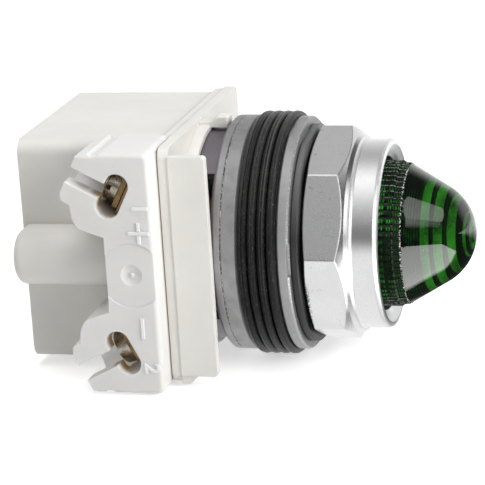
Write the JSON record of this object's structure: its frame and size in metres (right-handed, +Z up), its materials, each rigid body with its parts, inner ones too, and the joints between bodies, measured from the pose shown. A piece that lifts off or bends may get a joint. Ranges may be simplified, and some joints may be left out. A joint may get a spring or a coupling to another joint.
{
  "type": "panel pilot light",
  "caption": "Indicator light for a round panel hole: green fluted dome lens, octagonal metal ring nut, stacked rubber gaskets and a white plug-on module with screw terminals.",
  "frame": {"origin": "on the lamp axis, at the front face of the gasket stack, where the back of the panel lies", "axes": "+X along the lamp axis towards the lens, +Z up, -Y towards the wiring side"},
  "size_m": [0.0744, 0.051, 0.041],
  "materials": {
    "cast_metal": "dull cast zinc, fine grain",
    "washer_metal": "satin, turned",
    "nut_metal": "satin chrome on a casting",
    "gasket_rubber": "black moulded, lightly dusty",
    "green_lens": "clear moulded green, polished",
    "seal_rubber": "black, soft",
    "black_insulator": "moulded phenolic",
    "brass": "plain, slightly dulled",
    "lamp_metal": "nickel plated",
    "lamp_glass": "clear glass",
    "white_plastic": "moulded, warm white, fine grain",
    "terminal_plastic": "moulded, warm white, fine grain",
    "screw_steel": "zinc plated",
    "contact_metal": "tin plated",
    "board": "glass fibre laminate with green resist",
    "resistor_body": "cement coated",
    "capacitor_can": "sleeved can",
    "rectifier_body": "moulded epoxy"
  },
  "bodies": {
    "base": {"operator_base": "cast_metal", "panel_gasket_1": "gasket_rubber", "panel_gasket_2": "gasket_rubber", "panel_gasket_3": "gasket_rubber", "panel_gasket_4": "gasket_rubber", "socket_insulator": "black_insulator", "lamp_socket": "brass", "centre_contact": "brass", "front_cover": "white_plastic", "rear_housing": "white_plastic", "terminal_block": "terminal_plastic", "terminal_contact_upper": "contact_metal", "terminal_contact_lower": "contact_metal", "circuit_board": "board", "dropping_resistor": "resistor_body", "smoothing_capacitor": "capacitor_can", "rectifier": "rectifier_body", "feed_strip_centre": "brass", "feed_strip_ring": "brass"},
    "washer": {"trim_washer": "washer_metal"},
    "nut": {"ring_nut": "nut_metal"},
    "seal": {"lens_seal": "seal_rubber"},
    "lens_cap": {"lens": "green_lens"},
    "lamp": {"lamp_base": "lamp_metal", "lamp_bulb": "lamp_glass"},
    "clamp_upper": {"clamp_plate_upper": "brass"},
    "clamp_lower": {"clamp_plate_lower": "brass"},
    "wire_screw_upper": {"terminal_screw_upper": "screw_steel"},
    "wire_screw_lower": {"terminal_screw_lower": "screw_steel"},
    "lock_ring_near": {"lock_washer_near": "screw_steel"},
    "lock_ring_far": {"lock_washer_far": "screw_steel"},
    "fixing_near": {"module_screw_near": "screw_steel"},
    "fixing_far": {"module_screw_far": "screw_steel"}
  },
  "joints": [
    {"name": "washer_lift", "type": "slide", "parent": "base", "child": "washer", "axis": [1, 0, 0], "range_m": [0, 0.0075]},
    {"name": "nut_turn", "type": "hinge", "parent": "washer", "child": "nut", "pos_m": [0, 0, 0], "axis": [1, 0, 0], "range_deg": [0, 1800]},
    {"name": "seal_lift", "type": "slide", "parent": "base", "child": "seal", "axis": [1, 0, 0], "range_m": [0, 0.0075]},
    {"name": "lens_turn", "type": "hinge", "parent": "seal", "child": "lens_cap", "pos_m": [0, 0, 0], "axis": [1, 0, 0], "range_deg": [0, 1800]},
    {"name": "lamp_turn", "type": "hinge", "parent": "base", "child": "lamp", "pos_m": [0, 0, 0], "axis": [1, 0, 0], "range_deg": [0, 30]},
    {"name": "clamp_upper_lift", "type": "slide", "parent": "base", "child": "clamp_upper", "axis": [-0.891, 0, 0.454], "range_m": [0, 0.0024]},
    {"name": "wire_screw_upper_turn", "type": "hinge", "parent": "clamp_upper", "child": "wire_screw_upper", "pos_m": [-0.0248, -0.0198, 0.0132], "axis": [-0.891, 0, 0.454], "range_deg": [0, 1440]},
    {"name": "clamp_lower_lift", "type": "slide", "parent": "base", "child": "clamp_lower", "axis": [-0.891, 0, -0.454], "range_m": [0, 0.0024]},
    {"name": "wire_screw_lower_turn", "type": "hinge", "parent": "clamp_lower", "child": "wire_screw_lower", "pos_m": [-0.0248, -0.0198, -0.0132], "axis": [-0.891, 0, -0.454], "range_deg": [0, 1440]},
    {"name": "lock_ring_near_lift", "type": "slide", "parent": "base", "child": "lock_ring_near", "axis": [-1, 0, 0], "range_m": [0, 0.003]},
    {"name": "fixing_near_turn", "type": "hinge", "parent": "lock_ring_near", "child": "fixing_near", "pos_m": [-0.041, -0.01555, 0], "axis": [-1, 0, 0], "range_deg": [0, 1800]},
    {"name": "lock_ring_far_lift", "type": "slide", "parent": "base", "child": "lock_ring_far", "axis": [-1, 0, 0], "range_m": [0, 0.003]},
    {"name": "fixing_far_turn", "type": "hinge", "parent": "lock_ring_far", "child": "fixing_far", "pos_m": [-0.041, 0.01555, 0], "axis": [-1, 0, 0], "range_deg": [0, 1800]}
  ],
  "couplings": [
    {"joint": "washer_lift", "follows": "nut_turn", "m_per_rad": 0.00023873},
    {"joint": "seal_lift", "follows": "lens_turn", "m_per_rad": 0.00023873},
    {"joint": "wire_screw_upper_turn", "follows": "clamp_upper_lift", "rad_per_m": 10472},
    {"joint": "wire_screw_lower_turn", "follows": "clamp_lower_lift", "rad_per_m": 10472},
    {"joint": "fixing_near_turn", "follows": "lock_ring_near_lift", "rad_per_m": 10472},
    {"joint": "fixing_far_turn", "follows": "lock_ring_far_lift", "rad_per_m": 10472}
  ]
}
